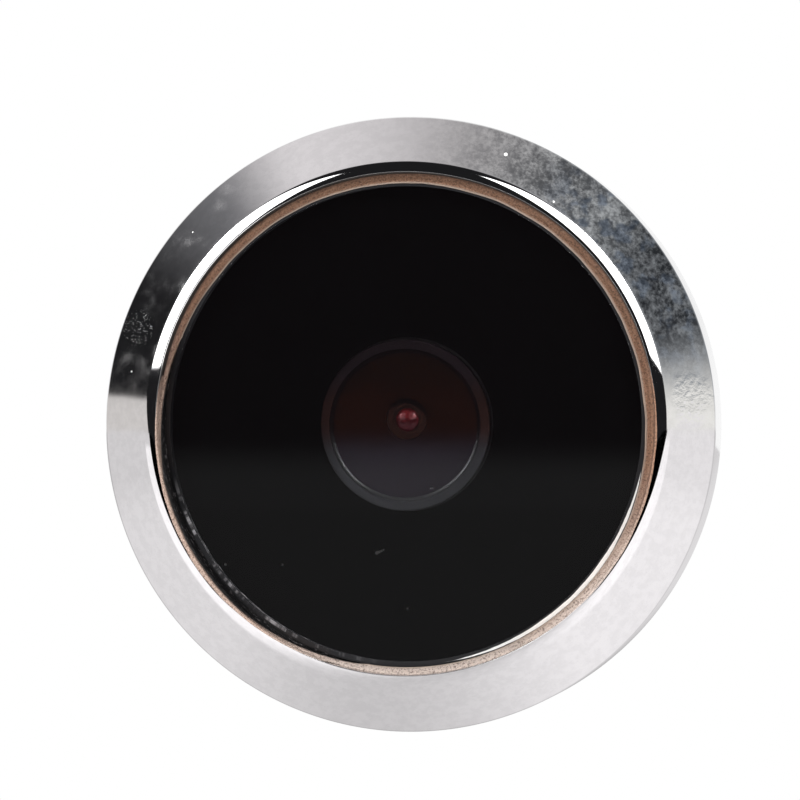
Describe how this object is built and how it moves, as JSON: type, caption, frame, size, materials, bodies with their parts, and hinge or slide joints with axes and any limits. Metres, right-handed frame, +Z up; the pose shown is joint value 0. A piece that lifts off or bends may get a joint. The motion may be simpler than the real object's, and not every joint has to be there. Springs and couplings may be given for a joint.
{
  "type": "peephole door camera",
  "caption": "Round door-viewer camera head with a chromed bevelled bezel, tinted window and recessed lens on a threaded through-door barrel with clamp washer and ring nut.",
  "frame": {"origin": "centre of the gasket's back face, on the outer face of the door and on the barrel's axis", "axes": "+Y along the barrel into the door, so the camera looks along -Y; +Z up, with the barrel's keyway on top; +X to the right as the visitor sees it"},
  "size_m": [0.05, 0.0811, 0.05],
  "materials": {
    "chrome": "satin bevel, bright lip, handled",
    "tinted_glass": "dark tint, polished",
    "sealant": "matte, speckled brown",
    "black_film": "matte",
    "foam": "open foam",
    "lens_black": "fine matte, anodised look",
    "coated_lens": "red coating",
    "lens_grey": "matte grey",
    "clear_lens": "polished",
    "moulding": "moulded, matte",
    "filter_glass": "pink coating",
    "sensor_package": "dark package with cover glass",
    "circuit_board": "green solder resist",
    "connector": "ivory, matte",
    "screw_steel": "zinc plated",
    "nickel": "nickel plated, satin",
    "plate_paint": "dark grey, satin",
    "rubber": "moulded",
    "gasket_rubber": "closed-cell foam rubber",
    "washer_steel": "stamped, zinc plated"
  },
  "bodies": {
    "camera": {"front_bezel": "chrome", "window_glass": "tinted_glass", "window_seal": "sealant", "mask_film": "black_film", "light_seal": "foam", "lens_barrel": "lens_black", "front_lens": "coated_lens", "aperture_ring": "lens_grey", "middle_lens": "clear_lens", "lens_spacer": "lens_black", "rear_lens": "clear_lens", "lens_retainer": "lens_black", "focus_lock_ring": "lens_grey", "lens_mount": "moulding", "ir_cut_filter": "filter_glass", "image_sensor": "sensor_package", "sensor_board": "circuit_board", "cable_connector": "connector", "core_screws": "screw_steel", "threaded_barrel": "nickel", "back_plate": "plate_paint", "plate_seal": "rubber", "plate_screws": "screw_steel", "door_gasket": "gasket_rubber", "cable_bush": "rubber"},
    "washer": {"clamp_washer": "washer_steel", "clamp_pad": "gasket_rubber"},
    "nut": {"clamp_nut": "nickel"}
  },
  "joints": [
    {"name": "washer_slide", "type": "slide", "parent": "camera", "child": "washer", "axis": [0, 1, 0], "range_m": [-0.00505, 0.01005]},
    {"name": "nut_turn", "type": "hinge", "parent": "washer", "child": "nut", "pos_m": [0, 0.047, 0], "axis": [0, 1, 0], "range_deg": [-1200, 2400]}
  ],
  "couplings": [
    {"joint": "washer_slide", "follows": "nut_turn", "m_per_rad": 0.00023873}
  ]
}
